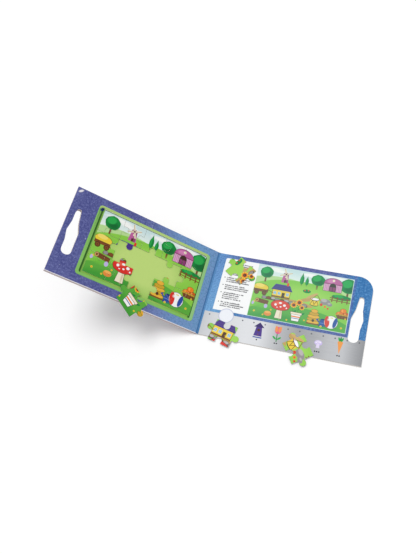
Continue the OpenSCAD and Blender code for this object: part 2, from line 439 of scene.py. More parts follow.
# The rim: light green paper over a thin die-cut ring round the recess, folded down its wall.
# Its far outer corner has a small nick, through which the dark blue sheet shows.
rim_outer_wide = 5.5
rim_side_wide = 4.7
rim_fold_wide = 5.6
rim_outer_edge = (recess_outer_x - rim_outer_wide, recess_near_y - rim_side_wide,
                  recess_fold_x + rim_fold_wide, recess_far_y + rim_side_wide)
rim_outer_round = 6.0
rim_high = 0.4
rim_lining = 0.4
rim_green = rgb(131, 190, 97)
rim_soft_green = rgb(146, 208, 108)
rim_wall_painted_shade = rgb(108, 172, 76)
rim_far_painted_light = rgb(176, 207, 122)
rim_fold_green = rgb(148, 200, 132)
far_wall_painted_light = rgb(248, 252, 232)
nick_scrap_corner = (-221.8, 136.2)
nick_corners = [
    (-228.0, 135.8), (-223.7, 135.4), (-222.2, 138.0), (-221.5, 142.9), (-225.2, 142.3), (-227.7, 139.6),
]


def rounded_box_points(box, radius, steps=10):
    """Counter-clockwise outline of a box with round corners: four quarter arcs joined up."""
    x0, y0, x1, y1 = box
    angles = np.linspace(0, math.pi / 2, steps)
    centres = [(x1 - radius, y1 - radius), (x0 + radius, y1 - radius),
               (x0 + radius, y0 + radius), (x1 - radius, y0 + radius)]
    arcs = [
        np.stack([cx + radius * np.cos(angles + q * math.pi / 2),
                  cy + radius * np.sin(angles + q * math.pi / 2)], 1)
        for q, (cx, cy) in enumerate(centres)
    ]
    return np.concatenate(arcs)


def ring_faces(rings, points, closed=False):
    """Quads between neighbouring rings of points, each ring closed on itself."""
    steps = rings if closed else rings - 1
    ring, point = np.meshgrid(np.arange(steps), np.arange(points), indexing="ij")
    after, beyond = (point + 1) % points, (ring + 1) % rings * points
    ring *= points
    quads = [ring + point, ring + after, beyond + after, beyond + point]
    return np.stack(quads, -1).reshape(-1, 4).tolist()


def capped(rings, points):
    """The same quads with a face over the last ring and one under the first."""
    last = range((rings - 1) * points, rings * points)
    return [*ring_faces(rings, points), list(last), list(range(points))[::-1]]


def to_row(panel, points):
    """Millimetres on a panel as metres in the row frame."""
    turn, shift = np.array(panel.to_3x3()), np.array(panel.translation)
    return np.asarray(points) / 1000 @ turn.T + shift


rim_paper, place = panel_material("rim_green_paper", tray_frame)
(x, y), z = place.axes(), place.axis(0, 0, 1)
soft_green = place.noise(0.06, 3)
colour = soft_green.scaled(1.0, -0.3).mix(rim_green, rim_soft_green)
# Painted shade: the rim paper turns darker green down the wall into the recess.
colour = (z + 0.12).inside(0.3).mix(colour, rim_wall_painted_shade)
# Painted light: the far side of the rim is a paler, yellower green, as where light falls on it.
colour = (recess_far_y - 1.5 - y).inside(3).mix(colour, rim_far_painted_light)
# Painted light: low on the far wall the paper is almost white, which lifts the shade there.
colour = (z - 0.1).inside(0.2).least((recess_far_y - 2 - y).inside(1)).mix(colour, far_wall_painted_light)
colour = (recess_fold_x - 0.5 - x).inside(2).mix(colour, rim_fold_green)
scrap = (x - nick_scrap_corner[0]).most(nick_scrap_corner[1] - y).inside(0.6).least((z + 0.05).inside(0.1))
colour = scrap.mix(colour, navy)
finish(place, colour, 0.45, place.noise(1.5, 2), 0.012)

# Profile of the rim from its outer foot over the crown and down the wall: share of the way from
# the outer edge to the inner one, millimetres beyond the inner edge, and height.
rim_profile = [
    (0.00, 0.0, 0.00), (0.00, 0.0, 0.22), (0.03, 0.0, 0.34), (0.09, 0.0, 0.39), (0.2, 0.0, 0.4),
    (0.80, 0.0, 0.40), (0.91, 0.0, 0.37), (0.975, 0.0, 0.27), (1.0, 0.0, 0.08), (1.0, 0.0, -0.3),
    (1.00, 0.0, -recess_deep), (1.0, -rim_lining, -recess_deep), (1.0, -rim_lining, 0.0),
]
outer_line = rounded_box_points(rim_outer_edge, rim_outer_round)
rings = []
for share, beyond, height in rim_profile:
    grown = (recess_outer_x + beyond, recess_near_y + beyond,
             recess_fold_x - beyond, recess_far_y - beyond)
    inner_line = rounded_box_points(grown, recess_round - beyond)
    line = outer_line * (1 - share) + inner_line * share
    rings.append(np.column_stack([line, np.full(len(line), height)]))
rim_points = to_row(tray_frame, np.concatenate(rings))
rim_faces = ring_faces(len(rings), len(outer_line), closed=True)
rim = new_object("green_rim", rim_points, rim_faces, rim_paper)
nick_points = to_row(tray_frame, [(*corner, z) for z in (-0.15, 1.5) for corner in nick_corners])
nick = new_object("nick_cutter", nick_points, capped(2, len(nick_corners)), rim_paper, False)
cut = rim.modifiers.new("nick", "BOOLEAN")
cut.operation = "DIFFERENCE"
cut.solver = "EXACT"
cut.object = nick
evaluated = rim.evaluated_get(bpy.context.evaluated_depsgraph_get())
rim_mesh = bpy.data.meshes.new_from_object(evaluated)
rim.modifiers.clear()
rim.data = rim_mesh
bpy.data.objects.remove(nick)
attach(rim, "tray")
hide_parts("tray_rim")


# The picture printed across the fifteen pieces, and again as a small guide on the cover. It is a
# generic country scene in greens, yellows, mauves and reds: sky, crowns and cypresses, a
# farmhouse, a barn, a mill, and toys and flowers on a lawn.
columns, rows = 5, 3
piece_wide = 39.4
piece_high = 39.0
picture_size = (columns * piece_wide, rows * piece_high)
grass_dark = rgb(70, 120, 50)


def gable(place, x, y, wide, high, turn=0, soft=0.3):
    """Mask of a triangle on a base centred at x, y: |across| + up is below 1, and up above 0."""
    across, up = spot(place, x, y, wide, 2 * high, turn).axes()
    return ((abs(across) + up - 1) * (min(wide, high) / 2)).most(up * -high).inside(soft)


def trapeze(place, x, y, wide, high, turn=0, soft=0.3):
    """Mask of a form that narrows to two thirds at its top, on a base centred at x, y."""
    across, up = spot(place, x, y, 2, 2, turn).axes()
    side = abs(across) + up * (wide / high / 6) - wide / 2
    return side.most(abs(up - high / 2) - high / 2).inside(soft)


def petals(place, x, y, wide, high, turn=0, soft=0.3, lobes=((9, 0.12),)):
    """Mask of a lobed round: an ellipse whose radius swells and shrinks with the angle."""
    here = spot(place, x, y, wide, high, turn)
    across, up = here.axes()
    angle = up.calc("ARCTAN2", across)
    reach = here.vector("LENGTH") - 1
    for count, wave in lobes:
        reach = reach - angle.scaled(count, count).calc("COSINE") * wave
    return (reach * (min(wide, high) / 2)).inside(soft)


def crown(place, *shape):
    """Mask of a leafy crown: a round with uneven, shallow lobes."""
    return petals(place, *shape, lobes=((5, 0.015), (9, 0.015), (14, 0.01)))


def paint(place, colour, strokes):
    """Lays strokes over a colour: each a form, its centre, size and tint, and where they aren't
    the usual 0 and 0.3 also its turn and the softness of its edge."""
    for form, x, y, wide, high, tint, *rest in strokes:
        colour = form(place, x, y, wide, high, *rest).mix(colour, tint)
    return colour


def at(x, y, strokes):
    """Strokes drawn about a point, moved to its place in the picture."""
    return [(form, x + dx, y + dy, *rest) for form, dx, dy, *rest in strokes]


sky_top = rgb(204, 228, 230)
sky_low = rgb(238, 248, 242)
cloud = rgb(252, 253, 250)
far_hill = rgb(186, 222, 150)
meadow = rgb(138, 204, 72)
glade_light = rgb(160, 216, 88)
lawn = rgb(92, 172, 62)
lawn_deep = rgb(66, 156, 54)
leaf = rgb(14, 134, 58)
leaf_dark = rgb(10, 104, 46)
leaf_light = rgb(40, 168, 76)
ink = rgb(62, 38, 30)
bark = rgb(118, 72, 42)
mauve = rgb(190, 96, 158)
mauve_dark = rgb(140, 56, 112)
mauve_pale = rgb(222, 170, 204)
violet = rgb(76, 52, 140)
violet_dark = rgb(54, 36, 106)
butter = rgb(238, 208, 62)
butter_dark = rgb(206, 164, 44)
honey = rgb(236, 180, 60)
window_blue = rgb(120, 186, 226)
brown = rgb(126, 74, 34)
brown_dark = rgb(78, 44, 26)
cream = rgb(246, 234, 208)
cream_shade = rgb(214, 196, 160)
scarlet = rgb(220, 48, 40)
orange = rgb(240, 128, 34)
orange_dark = rgb(206, 92, 22)
royal = rgb(44, 74, 160)
white = rgb(252, 252, 252)
stone = rgb(150, 144, 146)
stone_pale = rgb(188, 182, 182)
path_sand = rgb(196, 160, 96)
lilac = rgb(196, 184, 232)


def inked(form, x, y, wide, high, tint, turn=0, line=0.7):
    """A form over a slightly larger dark one, which leaves a drawn line round it. A trapeze is
    placed by its base, so its dark copy starts a line's width before that."""
    base = y
    if form is trapeze:
        base = y + line if turn else y - line
    return [(form, x, base, wide + 2 * line, high + 2 * line, ink, turn),
            (form, x, y, wide, high, tint, turn)]


def tree(x, y, wide, high):
    """A round crown on a trunk, with a shaded foot and a lit shoulder."""
    return [
        (block, x, y - high * 0.62, wide * 0.12, high * 0.5, bark),
        (crown, x, y, wide, high, leaf),
        (oval, x + wide * 0.1, y - high * 0.18, wide * 0.62, high * 0.5, leaf_dark, 0, 5),
        (crown, x - wide * 0.1, y + high * 0.14, wide * 0.6, high * 0.52, leaf_light, 20, 2),
    ]


def cypress(x, y, wide, high):
    """A slim pointed tree with one lit side."""
    return [
        (block, x, y - high * 0.52, 1.2, 4, bark),
        (oval, x, y - high * 0.12, wide, high * 0.74, leaf),
        (gable, x, y - high * 0.1, wide * 0.92, high * 0.6, leaf),
        (oval, x - wide * 0.16, y - high * 0.08, wide * 0.3, high * 0.6, leaf_light, 0, 1.5),
    ]


def daisy(x, y, wide, tint=butter):
    """A small flower: lobed petals round a darker eye."""
    return [
        (petals, x, y, wide, wide, tint, 12, 0.25),
        (oval, x, y, wide * 0.34, wide * 0.34, orange_dark, 0, 0.2),
    ]


scenery = [
    (oval, 30, 111, 44, 7, cloud, 2, 3), (oval, 46, 107, 30, 6, cloud, 0, 3),
    (oval, 112, 110, 40, 8, cloud, 0, 3), (oval, 160, 113, 50, 6, cloud, -2, 3),
    (oval, 40, 62, 170, 66, far_hill, 4, 1), (oval, 158, 60, 150, 72, far_hill, -3, 1),
    (oval, 98, 40, 250, 106, meadow, 0, 0.8),
    *tree(20, 101, 27, 25), *cypress(94, 100, 8.5, 27), *cypress(104.5, 97, 7, 21),
    *tree(126, 102, 28, 24), *tree(188, 100, 32, 32),
    (oval, 108, 60, 116, 42, glade_light, 0, 16),
]

# A mill with four sails and a domed barn stand on the far meadow.
sails = [
    (7 * math.cos(math.radians(turn)), 19 + 7 * math.sin(math.radians(turn)), turn)
    for turn in (20, 110, 200, 290)
]
mill = [
    (trapeze, 0, 0, 15, 19, mauve), (trapeze, 3, 0, 5, 19, mauve_dark, 0, 2),
    (oval, 0, 19, 11, 8, mauve_dark), (block, 0, 3, 3.4, 6, brown_dark),
    (oval, 0, 12.5, 2.6, 2.6, cream),
    *[(block, x, y, 11, 3.2, cream, turn) for x, y, turn in sails],
    *[(block, x, y, 13, 0.6, brown, turn, 0.25) for x, y, turn in sails],
    (oval, 0, 19, 2.4, 2.4, brown_dark),
]
barn = [
    *inked(oval, 0, 9, 36, 24, mauve), (oval, -5, 14, 16, 8, rgb(214, 130, 184), 12, 2),
    *inked(block, 0, 0, 36, 16, mauve_pale), (block, 0, 8, 38, 1.6, mauve_dark),
    *[(block, x, -0.5, 0.8, 15, mauve, 0, 0.25) for x in (-15, -12, -9, 9, 12, 15)],
    (oval, 0, 1, 14, 18, ink), (block, 0, -4, 14, 8, ink),
    *[(block, x, -3, 5.4, 9, mauve_dark) for x in (-3.2, 3.2)],
    (oval, 0, 16, 5, 5, cream),
]
far_buildings = at(60, 84, mill) + at(157, 91, barn)

# The farmhouse, a hay cart, a hedge with a fence, a path and a stone heap fill the middle.
path = [
    (oval, 96, 45, 60, 9, path_sand, -6, 0.6), (oval, 112, 56, 34, 8, path_sand, 18, 0.6),
    (block, 68, 42.6, 94, 4, rgb(92, 74, 58), -2, 1.5),
    *[stroke for i in range(10) for stroke in inked(
        crown, 26 + 9.2 * i, 45.5 - 0.35 * i + i % 3 * 0.8, 8.6 + i % 2, 6.4 - i % 3 * 0.7,
        (stone, brown, stone_pale)[i % 3], line=0.5)],
    (oval, 120, 66, 26, 6, rgb(206, 174, 112), 34, 0.6),
]
panes = [(6, 7, cream, 0.3), (4.8, 5.8, window_blue, 0.3), (0.6, 5.8, cream, 0.2)]
house = [
    (block, 0, 8, 37.4, 18.4, ink), (block, 0, 8, 36, 17, butter), (block, 0, 1.5, 36, 3, brown),
    (trapeze, 0, 16, 44, 13, violet), (block, 0, 17, 42, 1.2, violet_dark),
    (block, 0, 21.5, 37, 0.7, violet_dark), (block, 0, 25.5, 33, 0.7, violet_dark),
    (block, 10, 31, 4, 7, scarlet),
    *[(block, x, 9, wide, high, tint, 0, soft) for wide, high, tint, soft in panes for x in (-13, -4, 13)],
    (block, 4.5, 6, 6, 11, brown_dark), (oval, 6.4, 6, 0.9, 0.9, butter, 0, 0.2),
]
farmhouse = path + at(58, 50, house)
wheel_rounds = [(10, brown_dark), (7, brown), (2, brown_dark)]
middle_ground = [
    *inked(oval, 15, 66, 30, 15, butter), (crown, 12, 70, 18, 8, rgb(246, 222, 110), 0, 0.5),
    (block, 16, 59, 30, 6, brown), (block, 16, 60.6, 30, 0.7, brown_dark, 0, 0.2),
    (block, 36, 60, 14, 1.2, brown, -24),
    *[(oval, x, 54, size, size, tint) for size, tint in wheel_rounds for x in (8, 24)],
    (crown, 178, 73, 40, 11, leaf), (crown, 172, 75, 18, 6, leaf_light, 0, 1),
    *[(block, x, 67, 2.2, 12, brown) for x in (160, 170, 180, 190)],
    (block, 176, 70, 42, 1.6, brown, 1), (block, 176, 65, 42, 1.6, brown, -1),
    (crown, 148, 58, 20, 13, stone, 8), (crown, 145, 61, 12, 7, stone_pale, 0, 1.2),
    (crown, 157, 54, 11, 8, stone), (crown, 156, 56, 6, 3.6, stone_pale, 0, 1),
    *daisy(141, 51, 6, scarlet), *daisy(149, 48, 5, orange), *daisy(155, 45, 4, scarlet),
    (crown, 108, 74, 16, 8, leaf), *daisy(104, 75, 3, scarlet), *daisy(111, 76, 3, scarlet),
]

# A toy drum with its two sticks stands left of the stones.
drum = at(127, 54, [
    (oval, 0, -6, 17, 6, brown_dark), (block, 0, 0, 17, 12, butter), (oval, 0, -5, 17, 5, butter),
    *[(block, x, -1, 11, 0.9, brown_dark, turn, 0.25)
      for x, turn in ((-6, 66), (-2, -66), (2, 66), (6, -66))],
    (oval, 0, 6, 18, 6.6, brown_dark), (oval, 0, 6.4, 16, 5, white),
    (block, -2, 11, 13, 1.1, brown, 50), (oval, -6, 6.4, 2, 2, scarlet),
    (block, 7, 11, 13, 1.1, brown, 128), (oval, 11, 6.4, 2, 2, scarlet),
])

# The lawn in front holds the large motifs: a toadstool, sunflowers in a pot, a beehive with a
# watering can, a ball with a basket of pumpkins, and scattered flowers.
toadstool_spots = [
    (-10, 26, 5, 5), (-1, 31, 6, 4), (8, 27, 6, 5), (1, 23, 4, 3), (-6, 21, 3, 2), (13, 22, 3, 3),
]
toadstool = [
    (oval, 96, -58, 330, 190, lawn, 0, 0.8), (oval, 60, -80, 300, 190, lawn_deep, 2, 10),
    (oval, 30, 27, 44, 9, rgb(112, 192, 64), 4, 5),
    *at(62, 8, [
        (oval, 0, -1, 30, 6, lawn_deep, 0, 2), *inked(trapeze, 0, -2, 14, 24, cream),
        (oval, 3, 8, 3, 18, cream_shade, 0, 2),
        (oval, 0, 20, 34, 9, ink), (oval, 0, 20, 32, 7.6, rgb(230, 210, 178)),
        *inked(oval, 0, 26, 38, 21, scarlet), (oval, -5, 30, 16, 6, rgb(238, 96, 76), 10, 2),
        *[(oval, *dot, white, 0, 0.25) for dot in toadstool_spots],
    ]),
]
sunflowers = [(88, 40, 12), (98, 47, 13), (105, 37, 10)]
garden = [
    (oval, 40, 12, 15, 10, rgb(232, 140, 60)), (oval, 40, 15, 12, 5, rgb(248, 180, 90)),
    *[(block, x, (y + 14) / 2, 1.5, y - 8, lawn_deep, 0, 0.25) for x, y, _ in sunflowers],
    *[(oval, x + 4, y - 13, 8, 3.4, leaf, 35) for x, y, _ in sunflowers],
    *[stroke for x, y, w in sunflowers for stroke in (
        (petals, x, y, w, w, butter, 8), (petals, x, y, w * 0.8, w * 0.8, orange, 30),
        (oval, x, y, w * 0.5, w * 0.5, brown_dark),
        (oval, x - 0.6, y + 0.6, w * 0.26, w * 0.26, brown, 0, 0.8))],
    *at(96, 8, [
        *inked(trapeze, 0, 15, 20, 16, white, 180), *inked(block, 0, 15, 22, 4, cream),
        (block, 0, 8, 17, 2.6, orange), (block, 0, 4.4, 15, 1.4, royal),
    ]),
]
hive_and_can = [
    *[stroke for i, wide in enumerate((24, 25, 23, 19, 13)) for stroke in inked(
        oval, 0, 3 + 5.8 * i, wide, 7.2, butter_dark if i % 2 else honey, line=0.5)],
    (oval, 0, 6, 5, 6, brown_dark), (block, 0, -1, 26, 2.6, brown),
    *inked(trapeze, 20, -3, 15, 15, royal, line=0.5), (block, 12, 6, 11, 2.2, royal, -42),
    (oval, 8, 10, 5, 3, royal, 48), (oval, 20, 12, 10, 3, rgb(26, 44, 108)),
    (block, 20, 4, 13, 1.2, rgb(110, 140, 214), 0, 0.25),
]
ball = [
    (oval, 0, -11, 24, 5, lawn_deep, 0, 2), *inked(oval, 0, 0, 26, 26, white),
    (oval, -7.6, 0, 9.6, 23.6, scarlet, 8), (oval, 8, 0, 7.6, 21.6, royal, -10),
    (oval, 0, 9, 6, 3, butter), (oval, -3, 6, 8, 5, white, 30, 3),
]
pumpkins = [(180, 38, 14, 11, orange), (192, 39, 11, 9, orange_dark), (186, 46, 12, 9, orange)]
basket_and_logs = [
    *[stroke for pumpkin in pumpkins for stroke in inked(crown, *pumpkin, line=0.5)],
    *[(oval, x, y, 2.6, high, rgb(250, 170, 80), 0, 1)
      for x, y, high in ((177, 38, 8), (184, 46, 6), (190, 39, 6))],
    *inked(trapeze, 186, 38, 28, 9, brown, 180, 0.5), (block, 186, 37, 29, 2.4, butter_dark),
    *[(block, 186 + x, 33, 0.8, 8, brown_dark, 0, 0.25) for x in (-8, -3, 3, 8)],
    *inked(block, 24, 36, 24, 8, brown, -6, 0.5),
    *inked(oval, 13, 37, 7, 8.4, rgb(214, 168, 104), -6, 0.5),
    (oval, 13, 37, 3.6, 4.8, brown, -6), (block, 26, 37.6, 20, 0.8, brown_dark, -6),
    (block, 25, 34.6, 18, 0.7, brown_dark, -6),
    (oval, 33, 27, 7, 9, lilac), (oval, 6, 30, 5, 8, lilac, -10),
]
toys = at(131, 9, hive_and_can) + at(166, 18, ball) + basket_and_logs
meadow_flowers = [
    (12, 13, 4), (31, 8, 3.4), (45, 21, 3.4), (80, 6, 3.4), (114, 12, 3.2), (148, 6, 4),
    (187, 10, 4), (192, 30, 3.2), (8, 33, 3.2),
]
flowers = [stroke for flower in meadow_flowers for stroke in daisy(*flower)]


def picture_layer(name, strokes):
    """One layer of the picture as a node group: a place and the colour below in, colour out."""
    group = bpy.data.node_groups.new(name, "ShaderNodeTree")
    group.interface.new_socket("Place", in_out="INPUT", socket_type="NodeSocketVector")
    group.interface.new_socket("Below", in_out="INPUT", socket_type="NodeSocketColor")
    group.interface.new_socket("Colour", in_out="OUTPUT", socket_type="NodeSocketColor")
    given = group.nodes.new("NodeGroupInput").outputs
    place = Wire(given["Place"])
    colour = paint(place, Wire(given["Below"]), strokes)
    place.node("NodeGroupOutput", {}, {"Colour": colour})
    return group


picture_parts = {
    "scenery": scenery, "far_buildings": far_buildings, "farmhouse": farmhouse,
    "middle_ground": middle_ground, "drum": drum, "toadstool": toadstool, "garden": garden,
    "toys": toys, "flowers": flowers,
}
picture_layers = [picture_layer(f"picture_{name}", strokes) for name, strokes in picture_parts.items()]


def picture_colour(place):
    """Colour of the picture at a place given in picture millimetres."""
    up = place.axis(0, 1, 0)
    colour = up.scaled(1 / 24, -88 / 24).mix(sky_low, sky_top)
    for layer in picture_layers:
        colour = place.node("ShaderNodeGroup", {"node_tree": layer}, {"Place": place, "Below": colour})
    grass = place.stretched(0.8, 2.4, 1).noise(1.0, 3, 0.6)
    return grass.scaled(0.5, -0.26).mix(colour, grass_dark)


# The puzzle pieces: printed paper on a flexible magnet, die-cut together, so the print's top
# edge is rolled down a little. Eleven sit at home in the recess, and four lie loose.
magnet_thick = 0.6
half_gap = 0.15
knob_radius = 5.8
knob_reach = 4.9
neck_radius = 1.6
fold_gap = 1.0
near_gap = 4.2
tin_and_base_thick = 0.27
seated_corner = (recess_fold_x - fold_gap - picture_size[0], recess_near_y + near_gap)
seated_height = tin_and_base_thick - recess_deep
print_edge = rgb(226, 222, 210)
column_shift = [[1.5, -2, 2.5, -1], [3, -1, 1, -2], [-2, 0, -0.5, 2]]
row_shift = [[-2, 1, 2, -1.5, 2], [1.5, -1, 4.5, 1, -2]]
loose_pieces = {
    (2, 2): (cover_frame, 42.5, 9.8, 0.0, -13), (2, 3): (cover_frame, 45, 131, 0.0, 55),
    (2, 4): (cover_frame, 171, 8, 0.0, -56), (3, 3): (tray_frame, -126, 8.5, rim_high, -36),
}
# Rolled edge: how far inside the cut the print lies, and its height above the magnet's foot.
rolled_edge = [
    (half_gap, magnet_thick), (half_gap, 0.76), (0.18, 0.83), (0.26, 0.88), (0.4, 0.897), (0.9, 0.9),
]


def knob_outline(grow, sign, centre, half_length):
    """One side of a piece as (along, outward) points: two fillet arcs and a head arc between
    them, on a line `grow` outside the cut. A socket is the mirrored knob grown the other way."""
    grown = grow * sign
    spread = math.sqrt((knob_radius + neck_radius) ** 2 - (knob_reach - neck_radius) ** 2)
    tilt = math.atan2(knob_reach - neck_radius, spread)
    fillet = np.linspace(-math.pi / 2, tilt, 7)
    head = np.linspace(math.pi + tilt, -tilt, 25)[1:-1]
    left = np.stack([-spread + (neck_radius - grown) * np.cos(fillet),
                     neck_radius + (neck_radius - grown) * np.sin(fillet)], 1)
    top = np.stack([(knob_radius + grown) * np.cos(head),
                    knob_reach + (knob_radius + grown) * np.sin(head)], 1)
    right = left[::-1] * (-1, 1)
    bulge = np.concatenate([left, top, right]) * (1, sign) + (centre, 0)
    return np.concatenate([[(-half_length - grow, grow)], bulge])


def piece_outline(row, column, grow):
    """Counter-clockwise outline of a piece about its middle, `grow` outside its drawn lines."""
    even = (row + column) % 2 == 0
    half_w, half_h = piece_wide / 2, piece_high / 2
    sides = []
    for turn, half, length, sideways, at_rim, shift in (
        (0, half_h, half_w, False, row == rows, row_shift[min(row, rows - 1) - 1][column - 1]),
        (90, half_w, half_h, True, column == columns, column_shift[row - 1][min(column, columns - 1) - 1]),
        (180, half_h, half_w, False, row == 1, -row_shift[max(row, 2) - 2][column - 1]),
        (270, half_w, half_h, True, column == 1, -column_shift[row - 1][max(column, 2) - 2]),
    ):
        if at_rim:
            side = np.array([(-length - grow, grow)])
        else:
            side = knob_outline(grow, 1 if sideways == even else -1, shift, length)
        c, s = round(math.cos(math.radians(turn))), round(math.sin(math.radians(turn)))
        along, outward = side[:, 0], -side[:, 1] - half
        sides.append(np.stack([c * along - s * outward, s * along + c * outward], 1))
    return np.concatenate(sides)


def piece_seat(row, column):
    """Panel, centre, height and turn of a piece where it lies."""
    if (row, column) in loose_pieces:
        return loose_pieces[row, column]
    x = seated_corner[0] + (column - 0.5) * piece_wide
    y = seated_corner[1] + (rows - row + 0.5) * piece_high
    return tray_frame, x, y, seated_height, 0


def piece_print(row, column, material):
    """The print as a closed shell: rings stepped in and up along the rolled edge, a flat top."""
    shells = []
    for inside, z in rolled_edge:
        outline = piece_outline(row, column, -inside)
        shells.append(np.column_stack([outline, np.full(len(outline), z)]))
    points = to_row(seat_on(*piece_seat(row, column)), np.concatenate(shells))
    made = new_object(f"picture_r{row}c{column}", points, capped(len(shells), len(shells[0])), material)
    for cap in (-2, -1):
        made.data.polygons[cap].use_smooth = False
    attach(made, f"piece_r{row}c{column}")
    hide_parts(f"piece_r{row}c{column}_print")


def print_material(name, panel, x, y, turn, home):
    """Laminated print: the picture about a piece's home, with bare paper on the cut sides."""
    material, local = panel_material(name, seat_on(panel, x, y, 0, turn))
    at_home = local.vector("ADD", (*home, 0))
    colour = cut_edge(local, panel, picture_colour(at_home), print_edge)
    finish(local, colour, 0.36, local.noise(1.4, 2), 0.01)
    return material


seated_print = print_material("seated_print", tray_frame, *seated_corner, 0, (0, 0))
for row in range(1, rows + 1):
    for column in range(1, columns + 1):
        material = seated_print
        if (row, column) in loose_pieces:
            panel, x, y, _, turn = loose_pieces[row, column]
            home = ((column - 0.5) * piece_wide, (rows - row + 0.5) * piece_high)
            material = print_material(f"loose_print_r{row}c{column}", panel, x, y, turn, home)
        piece_print(row, column, material)

magnet = bpy.data.materials.new("flexible_magnet")
place = start_tree(magnet).stretched(*metre_parts)
grains = place.noise(1.5, 5, 0.7)
finish(place, grains.mix(rgb(44, 36, 32), rgb(86, 68, 54)), 0.75, grains, 0.04)
dress(magnet, *[f"piece_r{r}c{c}_magnet" for r in range(1, rows + 1) for c in range(1, columns + 1)])


# The cover's printed face: blue starry paper with a white panel of greyed text, the picture
# again as a guide, and along the near edge a silver strip with rivets and four things to find.
cover_blue = rgb(50, 116, 177)
cover_fold_near = rgb(104, 160, 210)
cover_fold_far = rgb(92, 138, 196)
cover_indigo = rgb(90, 94, 154)
cover_band = rgb(88, 103, 169)
cover_pale = rgb(122, 180, 232)
cover_dusk = rgb(16, 74, 138)
panel_white = rgb(250, 251, 252)
text_grey = rgb(70, 70, 76)
panel_round = 3.0
instruction_box = (14.2, 50.3, 74.6, 152.3)
guide_box = (74.6, 50.3, 241.7, 152.1)
far_band_low = 153
far_band_middle = 128
far_band_half = 92
guide_side_x = 243.5
middle_band_box = (62, 43, 244, 51)
strip_high = 44.8
strip_tones = [
    (0.0, 198), (0.08, 214), (0.3, 226), (0.38, 222), (0.44, 203), (0.5, 181),
    (0.6, 159), (0.7, 168), (0.8, 190), (0.88, 196), (0.95, 165), (1.0, 144),
]
rivet_line = 39.6
rivet_first = 11.5
rivet_pitch = 19.6
rivet_round = 1.3
rivet_eye = 0.5
badge = (40.4, 42.4, 13.2)
badge_ring = rgb(178, 182, 212)
badge_white = rgb(240, 243, 250)
rivet_grey = rgb(84, 86, 94)
rivet_slot = rgb(150, 152, 160)
strip_glint = rgb(250, 250, 250)
guide_border = rgb(226, 240, 232)

# Greyed text: rows of letter-sized marks, in paragraphs given by first row, rows and right edge.
text_top = 148.9
text_left = 24.3
text_pitch = 3.66
letter_wide = 0.95
bullet_x = 20.5
paragraphs = [(1, 2, 66), (6, 2, 62), (9, 3, 69), (13, 3, 68), (17, 4, 61), (22, 3, 66)]


def box_mask(place, box, soft=0.3):
    """Mask of an upright rectangle given by its corners."""
    x0, y0, x1, y1 = box
    return block(place, (x0 + x1) / 2, (y0 + y1) / 2, x1 - x0, y1 - y0, 0, soft)


def greyed_text(place, left, top, paragraphs):
    """Mask of letter marks: cells of a grid, some left out as word gaps and some taller, inside
    the paragraphs, whose rows end unevenly."""
    cells = place.placed((left, top, 0), 0, (letter_wide, -text_pitch, 1))
    corner = cells.vector("FLOOR")
    chance = place.node("ShaderNodeTexWhiteNoise", {"noise_dimensions": "2D"}, {"Vector": corner})
    row_only = corner.vector("MULTIPLY", (0, 1, 0))
    ragged = place.node("ShaderNodeTexWhiteNoise", {"noise_dimensions": "2D"}, {"Vector": row_only})
    across, down = cells.vector("FRACTION").axes()
    tall = (chance - 0.72).calc("SIGN").most(0) * 0.1
    mark = (abs(down + tall - 0.5) - 0.24 - tall).most(abs(across - 0.5) - 0.42)
    mark = mark.most(0.13 - chance)
    x = place.axis(1, 0, 0) + ragged * 9
    here = None
    for first, rows, right in paragraphs:
        high, low = top - first * text_pitch, top - (first + rows) * text_pitch
        lines = box_mask(place, (left, low, right, high), 0.1).least((x - right).inside(0.2))
        here = lines if here is None else here.most(lines)
    return here.least(mark.inside(0.12))


cover_sheet, place = panel_material("cover_printed_paper", cover_frame)
x, y = place.axes()
fold_side = y.scaled(1 / 90, -0.62).mix(cover_fold_near, cover_fold_far)
ground = x.scaled(1 / 36, -0.5).mix(fold_side, cover_blue)
far_band = (far_band_low - y).inside(2).least((abs(x - far_band_middle) - far_band_half).inside(50))
ground = far_band.mix(ground, cover_indigo)
guide_side = (abs(x - guide_side_x) - 2.5).most(48 - y).inside(3)
ground = (guide_side * 0.6).mix(ground, cover_band)
middle_band = box_mask(place, middle_band_box, 8)
ground = middle_band.mix(ground, x.scaled(2 / panel_width, -0.5).mix(cover_band, cover_indigo))
colour = starry(place, ground, far_band.mix(cover_pale, indigo_pale), cover_dusk, 1.2)

into_corner = (instruction_box[0] + panel_round, panel_round - instruction_box[3], 0)
into_corner = place.vector("MULTIPLY_ADD", (-1, 1, 0), into_corner).vector("MAXIMUM", (0, 0, 0))
beyond_round = into_corner.vector("LENGTH") - panel_round
white_panel = box_mask(place, instruction_box).least(beyond_round.inside())
colour = white_panel.mix(colour, panel_white)
colour = greyed_text(place, text_left, text_top, paragraphs).mix(colour, text_grey)
for first, _, _ in paragraphs:
    bullet = oval(place, bullet_x, text_top - (first + 0.5) * text_pitch, 2, 2)
    colour = bullet.mix(colour, text_grey)

guide_x0, guide_y0, guide_x1, guide_y1 = guide_box
guide_wash = rgb(150, 225, 215)
guide_wash_share = 0.09
guide_scale = ((guide_x1 - guide_x0) / picture_size[0], (guide_y1 - guide_y0) / picture_size[1], 1)
guide_place = place.placed((guide_x0, guide_y0, 0), 0, guide_scale)
guide_values = {0: guide_wash_share, 6: picture_colour(guide_place), 7: guide_wash}
guide_print = place.node("ShaderNodeMix", {"data_type": "RGBA"}, guide_values, 2)
colour = box_mask(place, guide_box).mix(colour, guide_print)
guide_edge = abs(x - (guide_x0 + guide_x1) / 2) - (guide_x1 - guide_x0) / 2
guide_edge = abs(guide_edge.most(abs(y - (guide_y0 + guide_y1) / 2) - (guide_y1 - guide_y0) / 2) + 0.3)
colour = (guide_edge - 0.4).inside().mix(colour, guide_border)

